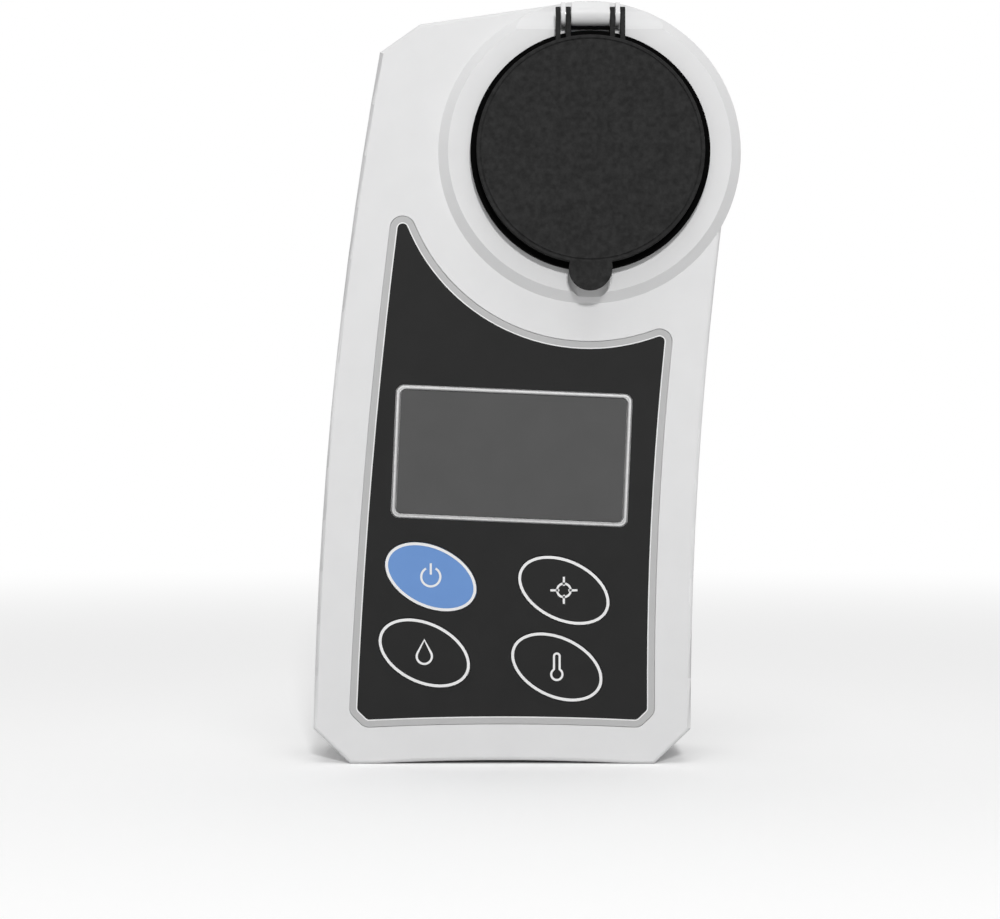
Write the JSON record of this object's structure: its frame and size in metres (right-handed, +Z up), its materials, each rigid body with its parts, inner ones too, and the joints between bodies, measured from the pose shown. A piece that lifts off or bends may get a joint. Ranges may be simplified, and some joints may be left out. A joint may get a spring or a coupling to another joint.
{
  "type": "digital refractometer",
  "caption": "Handheld digital refractometer: slanted two-shell body with a raised round head, hinged lid over a steel sample dish and prism, display and oval keys.",
  "frame": {"origin": "under the middle of the whole object's box, on the surface it stands on", "axes": "+Z up the body towards the head and lid hinge, -Y out of the display, +X to the right seen from the front"},
  "size_m": [0.0758, 0.0352, 0.1353],
  "materials": {
    "shell": "satin",
    "lid_black": "fine grain",
    "panel": "satin print",
    "bezel": "satin",
    "window": "satin",
    "dark_key": "satin",
    "blue_key": "satin",
    "rubber_seal": "matte",
    "stainless": "brushed",
    "optic_glass": "polished",
    "black_block": "matte",
    "board_green": "satin",
    "component_black": "matte",
    "screw_steel": "zinc plated",
    "cell_jacket": "satin",
    "contact_metal": "nickel plated",
    "tray_white": "matte",
    "lcd_glass": "gloss",
    "cable_grey": "satin"
  },
  "bodies": {
    "housing": {"front_shell": "shell", "rear_shell": "shell", "shell_gasket": "rubber_seal", "panel_overlay": "panel", "display_bezel": "bezel", "display_window": "window", "lcd_module": "lcd_glass", "display_tray": "tray_white", "key_switches": "component_black", "main_board": "board_green", "board_chips": "component_black", "hinge_pin": "screw_steel", "sample_dish": "stainless", "dish_seal": "rubber_seal", "optical_block": "black_block", "prism": "optic_glass", "light_source": "component_black", "focus_lens": "optic_glass", "sensor_board": "board_green", "line_sensor": "component_black", "temperature_probe": "contact_metal", "optics_cable": "cable_grey", "left_cell": "cell_jacket", "right_cell": "cell_jacket", "battery_springs": "contact_metal", "battery_contacts": "contact_metal", "housing_screws": "screw_steel", "board_screws": "screw_steel", "optics_screws": "screw_steel"},
    "lid_assembly": {"lid": "lid_black", "lid_seal": "rubber_seal"},
    "door_assembly": {"battery_door": "shell", "door_seal": "rubber_seal", "door_screws": "screw_steel"},
    "power_button": {"power_key": "blue_key"},
    "calibrate_button": {"calibrate_key": "dark_key"},
    "measure_button": {"measure_key": "dark_key"},
    "temperature_button": {"temperature_key": "dark_key"}
  },
  "joints": [
    {"name": "lid_hinge", "type": "hinge", "parent": "housing", "child": "lid_assembly", "pos_m": [0.01107, -0.01465, 0.1323], "axis": [-1, 0, 0], "range_deg": [0, 120]},
    {"name": "door_release", "type": "slide", "parent": "housing", "child": "door_assembly", "axis": [0, 1, 0], "range_m": [0, 0.03]},
    {"name": "power_press", "type": "slide", "parent": "housing", "child": "power_button", "axis": [0, 1, 0], "range_m": [0, 0.0004], "stiffness_N_per_m": 1500},
    {"name": "calibrate_press", "type": "slide", "parent": "housing", "child": "calibrate_button", "axis": [0, 1, 0], "range_m": [0, 0.0004], "stiffness_N_per_m": 1500},
    {"name": "measure_press", "type": "slide", "parent": "housing", "child": "measure_button", "axis": [0, 1, 0], "range_m": [0, 0.0004], "stiffness_N_per_m": 1500},
    {"name": "temperature_press", "type": "slide", "parent": "housing", "child": "temperature_button", "axis": [0, 1, 0], "range_m": [0, 0.0004], "stiffness_N_per_m": 1500}
  ]
}
